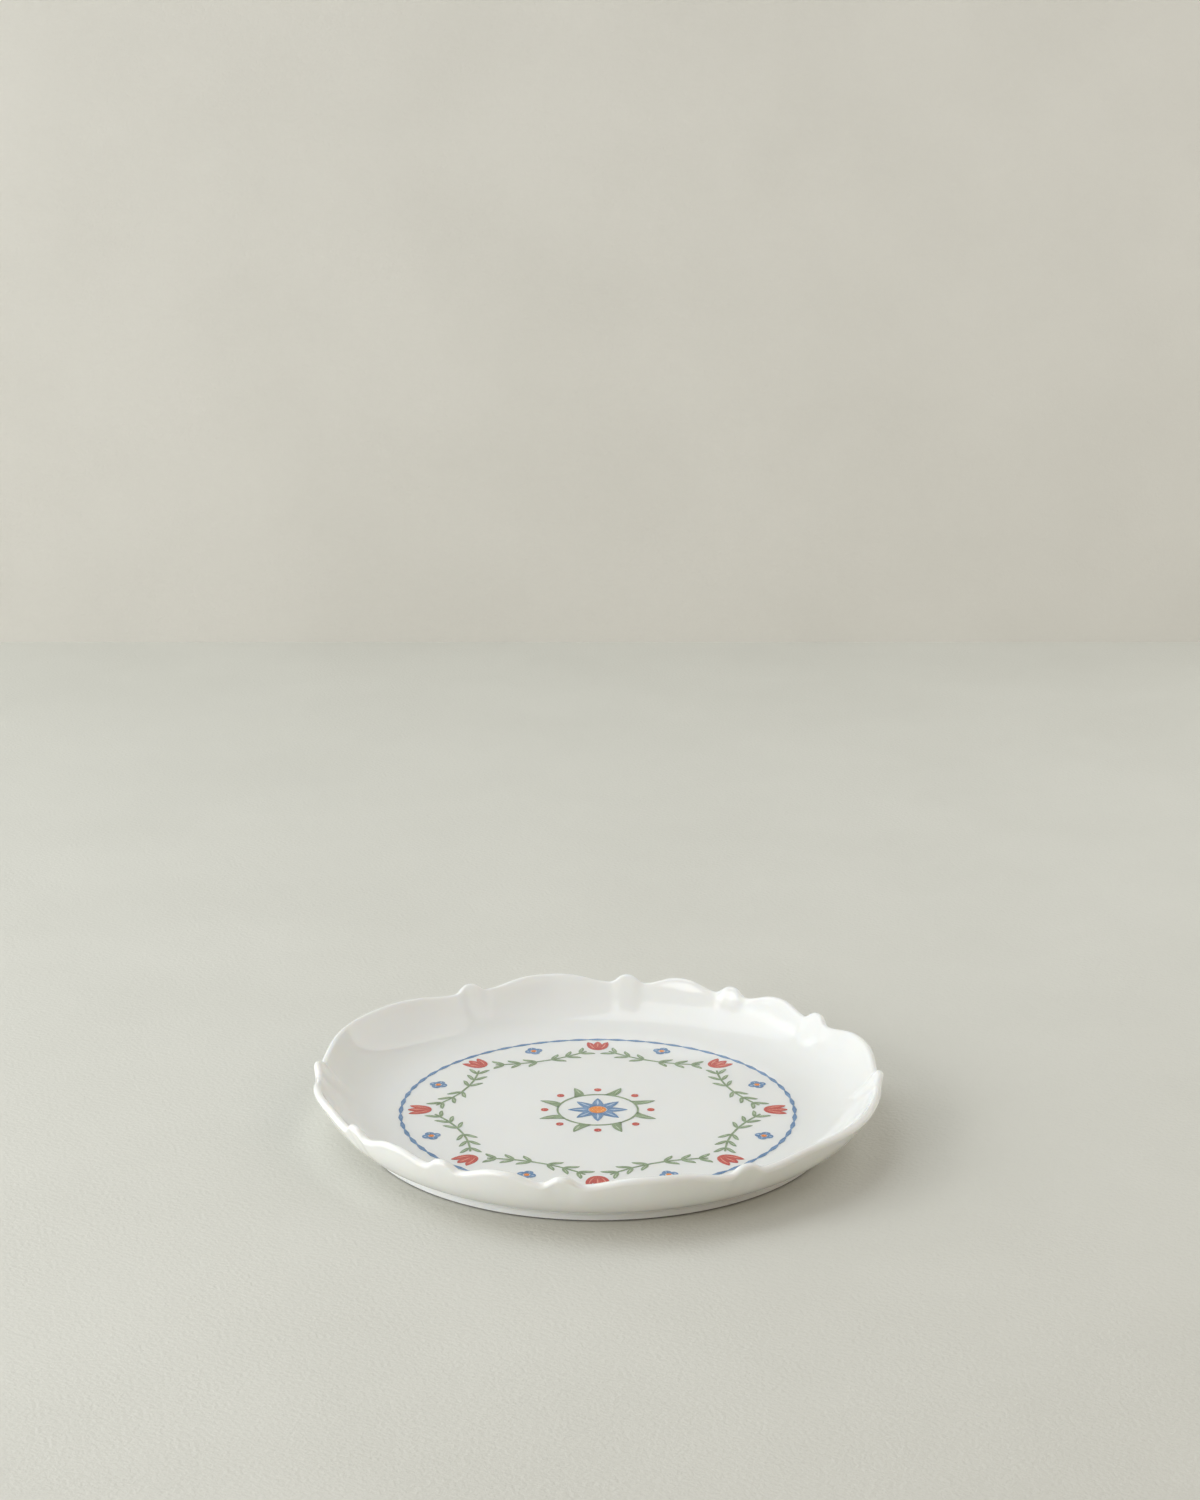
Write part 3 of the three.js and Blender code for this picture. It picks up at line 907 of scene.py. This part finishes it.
@dataclass
class Print:
    """Transfer films on the well floor: an edge line, a border of buds and swags, and a rosette."""

    dish: Dish
    inks: InkPot

    film_thickness: float = 0.125 * MM
    overprint_thickness: float = 0.02 * MM
    print_gap: float = 0.4 * MM
    print_turn: float = math.radians(31.6)

    line_inset: float = 1.7 * MM
    line_thread: float = 0.45 * MM
    lozenge_width: float = 1.7 * MM
    lozenge_count: int = 60

    border_count: int = 8
    bud_inset: float = 1.6 * MM
    bud_width: float = 7.6 * MM
    bud_height: float = 8.4 * MM
    bud_notch: float = 3.0 * MM
    bud_point: float = 0.5 * MM
    swag_drop: float = 1.2 * MM
    swag_gap: float = 0.6 * MM
    swag_sag: float = 6.0 * MM
    stem_width: float = 0.7 * MM
    leaflet_pairs: int = 3
    leaflet_reach: float = 3.5 * MM
    leaflet_rise: float = 3.7 * MM
    leaflet_root: float = 1.0 * MM
    leaflet_width: float = 2.2 * MM
    floret_inset: float = 6.4 * MM
    floret_size: float = 6.6 * MM
    floret_petals: int = 4
    eye_size: float = 1.8 * MM

    petal_count: int = 8
    rosette_size: float = 21.0 * MM
    petal_valley: float = 11.0 * MM
    disc_size: float = 6.0 * MM
    wreath_size: float = 29.0 * MM
    wreath_thread: float = 0.7 * MM
    wreath_leaf_length: float = 7.5 * MM
    wreath_leaf_width: float = 4.4 * MM
    wreath_leaf_root: float = 1.4 * MM
    berry_rise: float = 4.2 * MM
    berry_size: float = 2.6 * MM

    stroke_width: float = 0.45 * MM
    rib_width: float = 0.28 * MM
    petal_stroke_width: float = 0.72 * MM
    gleam_size: float = 0.54 * MM
    circle_steps: int = 32
    lozenge_steps: int = 8

    # Powers that shape the swells of an edge: a smaller one is fuller
    lozenge_power: float = 0.8
    floret_power: float = 0.8
    petal_power: float = 0.75

    # Outline of a bud, as shares of half its width
    bud_belly: float = 1.2
    bud_dip: float = 0.55
    bud_valley: float = 0.42
    bud_crown: float = 0.28

    # Places of the paler strokes and dots, as shares of the sizes of what they lie on
    bud_middle_stroke: tuple[Point, Point] = ((0.0, 0.3), (0.0, 0.86))
    bud_side_stroke: tuple[Point, Point] = ((0.28, 0.16), (0.76, 0.8))
    bud_stroke_bow: float = 0.2
    leaflet_rib: tuple[Point, Point] = ((0.2, 0.3), (0.8, 0.85))
    seed_place: float = 0.32
    gleam_place: Point = (0.18, 0.12)

    # Start of a stroke as a share of the hole or ring within it, and end as a share of the whole
    floret_stroke: Range = (0.66, 0.43)
    petal_stroke: Range = (1.15, 0.43)
    wreath_rib: Range = (1.08, 0.95)

    @property
    def line_radius(self) -> float:
        """Radius of the middle of the edge line."""
        return self.dish.well_radius - self.line_inset

    @property
    def line_inside(self) -> float:
        """Radius of the inner edge of the edge line."""
        return self.line_radius - self.lozenge_width / 2

    @property
    def bud_base(self) -> float:
        """Radius of the base of the buds."""
        return self.line_inside - self.bud_inset - self.bud_height

    @property
    def floret_radius(self) -> float:
        """Radius of the middle of the florets."""
        return self.line_inside - self.floret_inset

    # Films

    def film(self, points: list[Point], ink: Ink, overprint: bool = False) -> bpy.types.Object:
        """Press one film.

        Args:
            points: Its outline, anticlockwise.
            ink: Its colour.
            overprint: True for a stroke that lies on top of another film.

        Returns:
            The film, with its place in its mesh.
        """
        deselect_all()
        bpy.ops.mesh.primitive_circle_add(vertices=len(points), fill_type="NGON")
        film = bpy.context.object
        self.lay(film, points, ink, overprint)
        return film

    def ring_film(self, outer: list[Point], inner: list[Point], ink: Ink) -> bpy.types.Object:
        """Press one film with a hole.

        Args:
            outer: Its outline, anticlockwise.
            inner: The outline of its hole, with as many points.
            ink: Its colour.

        Returns:
            The film, with its place in its mesh.
        """
        deselect_all()
        bpy.ops.mesh.primitive_circle_add(vertices=len(outer), fill_type="NOTHING")
        film = bpy.context.object
        bpy.ops.object.mode_set(mode="EDIT")
        # Any smaller circle will do, because both are put on their outlines afterwards
        bpy.ops.mesh.primitive_circle_add(vertices=len(inner), radius=0.5, fill_type="NOTHING")
        bpy.ops.mesh.select_all(action="SELECT")
        bpy.ops.mesh.bridge_edge_loops()
        bpy.ops.object.mode_set(mode="OBJECT")
        self.lay(film, [*outer, *inner], ink, False)
        return film

    def lay(self, film: bpy.types.Object, points: list[Point], ink: Ink, overprint: bool) -> None:
        """Put a flat mesh on its outline and give it its thickness and ink.

        Args:
            film: The flat mesh.
            points: A place for each of its vertices.
            ink: Its colour.
            overprint: True for a stroke that lies on top of another film.
        """
        floor = self.dish.well_height + (self.film_thickness if overprint else 0)
        places = [(x, y, floor) for x, y in points]
        film.data.vertices.foreach_set("co", np.array(places).ravel())
        pick(film)
        bpy.ops.object.mode_set(mode="EDIT")
        bpy.ops.mesh.select_all(action="SELECT")
        bpy.ops.mesh.normals_make_consistent(inside=False)
        bpy.ops.object.mode_set(mode="OBJECT")
        if film.data.polygons[0].normal.z < 0:
            film.data.flip_normals()
        thickness = self.overprint_thickness if overprint else self.film_thickness
        apply_modifier(film, "SOLIDIFY", thickness=thickness, offset=1)
        film.data.materials.append(self.inks.material(ink))

    def join(self, films: list[bpy.types.Object]) -> bpy.types.Object:
        """Join a film and its overprint.

        Args:
            films: The film, then what lies on it.

        Returns:
            The film, now one piece.
        """
        pick(films[0])
        for film in films[1:]:
            film.select_set(True)
        bpy.ops.object.join()
        return films[0]

    def set_round(self, master: bpy.types.Object, label: str, node: str, count: int) -> None:
        """Copy a piece round the axis, with the copies standing for the CAD nodes.

        Args:
            master: The piece at the first place, which is removed.
            label: Name of the copies, without their number.
            node: Name of the CAD nodes, without their number.
            count: Number of copies.
        """
        for index in range(count):
            pick(master)
            bpy.ops.object.duplicate(linked=False)
            copy = bpy.context.object
            copy.rotation_euler.z = FULL_TURN * index / count
            bpy.ops.object.transform_apply(location=True, rotation=True, scale=True)
            self.hand_over(copy, f"{label}_{index + 1}", f"{node}_{index + 1}")
        bpy.data.objects.remove(master)

    def hand_over(self, piece: bpy.types.Object, name: str, node: str) -> None:
        """Turn a piece with the design, name it and put it in the place of its CAD node.

        Args:
            piece: The finished piece.
            name: Its name.
            node: The CAD node that it stands for.
        """
        pick(piece)
        piece.rotation_euler.z = self.print_turn
        bpy.ops.object.transform_apply(location=True, rotation=True, scale=True)
        piece.name = name
        piece.data.name = name
        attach(piece, BODY)
        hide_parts(node)

    # Motifs

    def build_line(self) -> None:
        """Blue line near the edge of the floor: a thread that swells into lozenges."""
        count = self.lozenge_count * self.lozenge_steps

        def half_width(angle: float) -> float:
            """Find half the width of the line.

            Args:
                angle: Angle round the axis, in radians.

            Returns:
                Half the width there.
            """
            across = abs((angle * self.lozenge_count / FULL_TURN + 0.5) % 1 - 0.5) * 2
            swell = (1 - across) ** self.lozenge_power
            return (self.line_thread + (self.lozenge_width - self.line_thread) * swell) / 2

        outer = ring_points(lambda angle: self.line_radius + half_width(angle), count)
        inner = ring_points(lambda angle: self.line_radius - half_width(angle), count)
        self.hand_over(self.ring_film(outer, inner, Ink.BLUE), "line_film", "edge_line")

    def bud_points(self) -> list[Point]:
        """Draw a bud with three points, from the origin along +Y.

        Returns:
            The points of its outline.
        """
        half = self.bud_width / 2
        belly, dip = half * self.bud_belly, half * self.bud_dip
        valley, crown = half * self.bud_valley, half * self.bud_crown
        low = self.bud_height - self.bud_notch
        side = self.bud_height - self.bud_point
        outline = Outline((0, 0))
        outline.curve_to((half, 0), (belly, low), (half, side))
        outline.curve_to((dip, side - self.bud_point), (valley, low))
        outline.curve_to((crown, side), (0, self.bud_height))
        outline.curve_to((-crown, side), (-valley, low))
        outline.curve_to((-dip, side - self.bud_point), (-half, side))
        outline.curve_to((-belly, low), (-half, 0), (0, 0))
        return outline.closed()

    def build_buds(self) -> None:
        """Red buds, each with three paler strokes."""
        half, high = self.bud_width / 2, self.bud_height
        middle = [(half * x, high * y) for x, y in self.bud_middle_stroke]
        side = [(half * x, high * y) for x, y in self.bud_side_stroke]
        bow = half * self.bud_stroke_bow
        strokes = [
            stroke_points(*middle, self.stroke_width),
            stroke_points(*side, self.stroke_width, -bow),
            stroke_points(*mirrored(side), self.stroke_width, bow),
        ]
        outward, shift = -math.pi / 2, (0.0, self.bud_base)
        films = [self.film(turned(self.bud_points(), outward, shift), Ink.RED)]
        films += [self.film(turned(stroke, outward, shift), Ink.PALE_RED, True) for stroke in strokes]
        self.set_round(self.join(films), "bud_film", "border_bud", self.border_count)

    def swag_stem(self) -> Callable[[float, float, float, float], Point]:
        """Bend the swag's stem.

        Returns:
            A function that finds a point beside the stem.
        """
        end_radius = self.bud_base - self.swag_drop
        end_inset = self.swag_gap + (self.leaflet_reach + self.leaflet_rise) / 2
        end_angle = math.pi / self.border_count - end_inset / end_radius
        end = Vector((end_radius * math.sin(end_angle), end_radius * math.cos(end_angle)))
        start = Vector((-end.x, end.y))
        lowest = Vector((0, 2 * (end_radius - self.swag_sag) - end.y))

        def beside(share: float, side: float, across: float, along: float) -> Point:
            """Find a point beside the stem.

            Args:
                share: Share of the way along the stem.
                side: 1 for its outer side, -1 for its inner side.
                across: Distance across it.
                along: Distance along it.

            Returns:
                The point.
            """
            first = start.lerp(lowest, share)
            second = lowest.lerp(end, share)
            tangent = (second - first).normalized()
            normal = Vector((-tangent.y, tangent.x)) * side
            return tuple(first.lerp(second, share) + normal * across + tangent * along)

        return beside

    def build_swags(self) -> None:
        """Green swags of leaflets that point from the middle to the ends, with paler ribs."""
        beside = self.swag_stem()
        half = self.stem_width / 2
        middle_across = half + self.leaflet_reach / 2
        middle_along = (self.leaflet_rise + self.leaflet_root) / 2
        tip_along = self.leaflet_rise + self.leaflet_root / 2
        shares = [(1 + (pair + 0.5) / self.leaflet_pairs) / 2 for pair in range(self.leaflet_pairs)]

        def leaflet(share: float, side: float) -> list[Point]:
            """Place a leaflet.

            Args:
                share: Its share of the way along the stem.
                side: 1 for the stem's outer side, -1 for its inner side.

            Returns:
                Its root, a side, its tip, the far side and the far root.
            """
            return [
                beside(share, side, half, 0),
                beside(share, side, middle_across, middle_along - self.leaflet_width),
                beside(share, side, half + self.leaflet_reach, tip_along),
                beside(share, side, middle_across, middle_along + self.leaflet_width),
                beside(share, side, half, self.leaflet_root),
            ]

        outer = [leaflet(share, 1) for share in shares]
        inner = [leaflet(share, -1) for share in shares]
        outer_end, inner_end = beside(1, 1, half, 0), beside(1, -1, half, 0)
        outer_start, inner_start = mirrored([outer_end, inner_end])
        outline = Outline(inner_start)
        for leaf in [*(mirrored(reversed(leaf)) for leaf in reversed(inner)), *inner]:
            outline.leaf(*leaf)
        outline.line_to(inner_end).line_to(outer_end)
        for leaf in [*(leaf[::-1] for leaf in reversed(outer)), *map(mirrored, outer)]:
            outline.leaf(*leaf)
        outline.line_to(outer_start)

        ribs = []
        for share in shares:
            for side in (1, -1):
                rib = [
                    beside(share, side, half + self.leaflet_reach * across, tip_along * along)
                    for across, along in self.leaflet_rib
                ]
                ribs.append(stroke_points(*rib, self.rib_width))
                ribs.append(stroke_points(*mirrored(rib), self.rib_width))
        turn = math.pi / self.border_count - math.pi / 2
        films = [self.film(turned(outline.closed(), turn), Ink.GREEN)]
        films += [self.film(turned(rib, turn), Ink.PALE_GREEN, True) for rib in ribs]
        self.set_round(self.join(films), "swag_film", "border_swag", self.border_count)

    def build_florets(self) -> None:
        """Blue florets of four round petals with an orange eye in the middle."""
        hole = self.eye_size + 2 * self.print_gap
        valley = (hole + self.floret_size) / 4
        depth = self.floret_size / 2 - valley
        edge_steps = 2 * self.circle_steps
        turn = math.pi / self.border_count - math.pi / 2
        shift = (0.0, self.floret_radius)

        def petal_edge(angle: float) -> float:
            """Radius of a floret's edge at an angle."""
            swell = abs(math.cos(self.floret_petals * angle / 2))
            return valley + depth * swell ** self.floret_power

        outer = turned(ring_points(petal_edge, edge_steps), turn, shift)
        inner = turned(circle_points(hole / 2, edge_steps), turn, shift)
        films = [self.ring_film(outer, inner, Ink.BLUE)]
        start, end = hole * self.floret_stroke[0], self.floret_size * self.floret_stroke[1]
        for petal in range(self.floret_petals):
            angle = FULL_TURN * petal / self.floret_petals
            stroke = radial_stroke(start, end, angle, self.stroke_width)
            films.append(self.film(turned(stroke, turn, shift), Ink.PALE_BLUE, True))
        self.set_round(self.join(films), "floret_film", "border_floret", self.border_count)
        eye = turned(circle_points(self.eye_size / 2, self.circle_steps), turn, shift)
        self.set_round(self.film(eye, Ink.ORANGE), "eye_film", "border_eye", self.border_count)

    def build_rosette(self) -> None:
        """Blue rosette of pointed petals, with paler strokes and an orange disc in the middle."""
        valley = self.petal_valley / 2
        depth = self.rosette_size / 2 - valley
        hole = self.disc_size / 2 + self.print_gap
        step = FULL_TURN / self.petal_count
        edge_steps = self.petal_count * self.lozenge_steps * 2

        def petal_edge(angle: float) -> float:
            """Radius of the rosette's edge at an angle."""
            swell = 1 - abs(math.sin(self.petal_count * angle / 2))
            return valley + depth * swell ** self.petal_power

        outer = ring_points(petal_edge, edge_steps)
        films = [self.ring_film(outer, circle_points(hole, edge_steps), Ink.BLUE)]
        start, end = hole * self.petal_stroke[0], self.rosette_size * self.petal_stroke[1]
        for petal in range(self.petal_count):
            stroke = radial_stroke(start, end, step * petal, self.petal_stroke_width)
            films.append(self.film(stroke, Ink.PALE_BLUE, True))
        self.hand_over(self.join(films), "rosette_film", "centre_rosette")

        disc = circle_points(self.disc_size / 2, 2 * self.circle_steps)
        seed = circle_points(self.stroke_width / 2, self.circle_steps // 2)
        shift = (self.disc_size * self.seed_place, 0.0)
        films = [self.film(disc, Ink.ORANGE)]
        for petal in range(self.petal_count):
            films.append(self.film(turned(seed, step * petal, shift), Ink.PALE_ORANGE, True))
        self.hand_over(self.join(films), "disc_film", "centre_disc")

    def build_wreath(self) -> None:
        """Green ring with leaves standing out from it, and red berries between them."""
        ring = self.wreath_size / 2
        inside = ring - self.wreath_thread
        step = FULL_TURN / self.petal_count
        middles = [step * (index + 0.5) for index in range(self.petal_count)]
        root_angle = self.wreath_leaf_root / 2 / ring
        belly = ring + self.wreath_leaf_length / 2
        belly_angle = self.wreath_leaf_width / 2 / belly
        tip_radius = ring + self.wreath_leaf_length
        arc_steps = self.lozenge_steps * 2
        arc_step_angle = (step - 2 * root_angle) / arc_steps
        outline = Outline(polar(ring, step / 2 - root_angle))
        for middle in middles:
            outline.curve_to(polar(belly, middle - belly_angle), polar(tip_radius, middle))
            outline.curve_to(polar(belly, middle + belly_angle), polar(ring, middle + root_angle))
            for arc_step in range(1, arc_steps + 1):
                outline.line_to(polar(ring, middle + root_angle + arc_step_angle * arc_step))
        outer = outline.closed()
        first_angle = math.atan2(outer[0][1], outer[0][0])
        inner_angle = FULL_TURN / len(outer)
        inner = [polar(inside, first_angle + inner_angle * index) for index in range(len(outer))]
        films = [self.ring_film(outer, inner, Ink.GREEN)]
        start, end = ring * self.wreath_rib[0], tip_radius * self.wreath_rib[1]
        for middle in middles:
            rib = radial_stroke(start, end, middle, self.stroke_width)
            films.append(self.film(rib, Ink.PALE_GREEN, True))
        self.hand_over(self.join(films), "wreath_film", "centre_wreath")

        berry_radius = ring + self.berry_rise
        along, across = (self.berry_size * share for share in self.gleam_place)
        berry = turned(circle_points(self.berry_size / 2, self.circle_steps), 0, (berry_radius, 0.0))
        gleam = circle_points(self.gleam_size / 2, self.circle_steps // 2)
        gleam = turned(gleam, 0, (berry_radius + along, across))
        films = [self.film(berry, Ink.RED), self.film(gleam, Ink.PALE_RED, True)]
        self.set_round(self.join(films), "berry_film", "centre_berry", self.petal_count)

    def build(self) -> None:
        """Press all the films."""
        self.build_line()
        self.build_buds()
        self.build_swags()
        self.build_florets()
        self.build_rosette()
        self.build_wreath()


# The studio


class Stand(Enum):
    """Where a lamp stands: its compass angle from the picture's right and its rise, in degrees."""

    HIGH_LEFT = (155.0, 60.0)
    LEFT = (170.0, 22.0)
    FRONT_LEFT = (214.0, 17.0)
    FRONT_RIGHT = (312.0, 25.0)
    RIGHT = (15.0, 34.0)


@dataclass
class Lamp:
    """A soft box that faces the plate."""

    name: str
    stand: Stand
    power: float
    width: float
    height: float
    distance: float
    colour: Colour

    def place(self, view_turn: float) -> None:
        """Hang the lamp.

        Args:
            view_turn: Turn of the picture about the plate's axis, in radians.
        """
        compass, rise = (math.radians(angle) for angle in self.stand.value)
        compass += view_turn
        flat = self.distance * math.cos(rise)
        data = bpy.data.lights.new(self.name, "AREA")
        data.shape = "RECTANGLE"
        data.size, data.size_y = self.width, self.height
        data.energy = self.power
        data.color = self.colour
        lamp = bpy.data.objects.new(self.name, data)
        lamp.location = (*polar(flat, compass), self.distance * math.sin(rise))
        lamp.rotation_euler = (-lamp.location).to_track_quat("-Z", "Y").to_euler()
        bpy.context.scene.collection.objects.link(lamp)


@dataclass
class Studio:
    """Pale floor and backdrop, soft light, and the camera at the picture's viewing angle."""

    view_turn: float = math.radians(31.61)
    camera_back: float = 977.3 * MM
    camera_height: float = 402.4 * MM
    camera_pitch: float = math.radians(15.19)
    camera_yaw: float = math.radians(0.047)
    lens: float = 71.34
    sensor: float = 36.0

    floor_size: float = 2.4
    floor_finish: Plaster = Plaster("floor_plaster", (0.670, 0.668, 0.615), (0.650, 0.648, 0.595))
    backdrop_distance: float = 0.75
    backdrop_height: float = 2.5
    backdrop_finish: Plaster = Plaster("wall_plaster", (0.700, 0.688, 0.638), (0.676, 0.664, 0.614))
    sky_colour: Colour = (1.0, 0.98, 0.95)
    sky_light: float = 0.02
    sky_look: float = 0.5
    cool: Colour = (0.93, 0.975, 1.0)
    neutral: Colour = (1.0, 0.995, 0.985)
    warm: Colour = (1.0, 0.80, 0.57)

    def stage_plane(self, name: str, size: Point, place: Vector, turn: Euler,
                    material: bpy.types.Material) -> None:
        """Lay one plane of the stage.

        Args:
            name: Name of the plane.
            size: Its width and length.
            place: Its middle.
            turn: Its turn.
            material: Its finish.
        """
        deselect_all()
        bpy.ops.mesh.primitive_plane_add(size=1)
        plane = bpy.context.object
        plane.name = name
        plane.scale = (*size, 1)
        plane.rotation_euler = turn
        plane.location = place
        bpy.ops.object.transform_apply(location=True, rotation=True, scale=True)
        plane.data.materials.append(material)

    def build_stage(self) -> None:
        """Lay the floor and stand the backdrop behind the plate."""
        toward, away = self.view_turn - math.pi / 2, self.view_turn + math.pi / 2
        size = (self.floor_size, self.floor_size)
        middle = Vector((*polar(self.floor_size / 2 - self.backdrop_distance, toward), 0))
        flat = Euler((0, 0, self.view_turn))
        self.stage_plane("floor", size, middle, flat, self.floor_finish.material())
        size = (self.floor_size, self.backdrop_height)
        middle = Vector((*polar(self.backdrop_distance, away), self.backdrop_height / 2))
        upright = Euler((math.pi / 2, 0, self.view_turn))
        self.stage_plane("backdrop", size, middle, upright, self.backdrop_finish.material())

    def build_sky(self) -> None:
        """Set an even sky: it hardly lights the plate, but looks pale behind it and in the glaze."""
        world = bpy.data.worlds.new("sky")
        world.use_nodes = True
        tree = world.node_tree
        background = next(node for node in tree.nodes if node.type == "BACKGROUND")
        background.inputs["Color"].default_value = (*self.sky_colour, 1)
        rays = tree.nodes.new("ShaderNodeLightPath")
        seen = rays.outputs["Is Camera Ray"]
        for kind in ("Is Glossy Ray", "Is Transmission Ray"):
            either = tree.nodes.new("ShaderNodeMath")
            either.operation = "MAXIMUM"
            tree.links.new(seen, either.inputs[0])
            tree.links.new(rays.outputs[kind], either.inputs[1])
            seen = either.outputs["Value"]
        strength = tree.nodes.new("ShaderNodeMapRange")
        strength.inputs["To Min"].default_value = self.sky_light
        strength.inputs["To Max"].default_value = self.sky_look
        tree.links.new(seen, strength.inputs["Value"])
        tree.links.new(strength.outputs["Result"], background.inputs["Strength"])
        bpy.context.scene.world = world

    def build_light(self) -> None:
        """Set the sky and hang the lamps."""
        self.build_sky()
        for lamp in self.lamps():
            lamp.place(self.view_turn)

    def lamps(self) -> list[Lamp]:
        """List the soft boxes on the left and the two pale cards on the right.

        Returns:
            The lamps.
        """
        return [
            Lamp("high_light", Stand.HIGH_LEFT, power=13.2, width=1.5, height=1.5, distance=1.6,
                 colour=self.cool),
            Lamp("left_light", Stand.LEFT, power=3.6, width=1.1, height=0.95, distance=1.15,
                 colour=self.neutral),
            Lamp("key_light", Stand.FRONT_LEFT, power=10.2, width=1.0, height=0.85, distance=1.15,
                 colour=self.neutral),
            Lamp("front_card", Stand.FRONT_RIGHT, power=2.7, width=0.9, height=0.9, distance=1.3,
                 colour=self.warm),
            Lamp("right_card", Stand.RIGHT, power=4.3, width=1.1, height=1.1, distance=0.9,
                 colour=self.neutral),
        ]

    def build_camera(self) -> None:
        """Stand the camera at the picture's viewing angle."""
        data = bpy.data.cameras.new("camera")
        data.lens = self.lens
        data.sensor_width = self.sensor
        data.sensor_fit = "AUTO"
        camera = bpy.data.objects.new("camera", data)
        camera.location = (*polar(self.camera_back, self.view_turn - math.pi / 2), self.camera_height)
        camera.rotation_euler = (math.pi / 2 - self.camera_pitch, 0, self.view_turn - self.camera_yaw)
        bpy.context.scene.collection.objects.link(camera)
        bpy.context.scene.camera = camera
        bpy.context.scene.view_settings.view_transform = "Standard"

    def build(self) -> None:
        """Set up the whole studio."""
        self.build_camera()
        self.build_stage()
        self.build_light()


def main() -> None:
    """Build the studio, the dish and its print."""
    logging.basicConfig(level=logging.INFO, format="%(name)s: %(message)s")
    Studio().build()
    dish = Dish()
    piece = dish.build()
    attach(piece, BODY)
    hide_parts("dish")
    LOG.info("%s stands for dish, with %d faces", piece.name, len(piece.data.polygons))
    Print(dish, InkPot()).build()


if __name__ == "__main__":
    main()
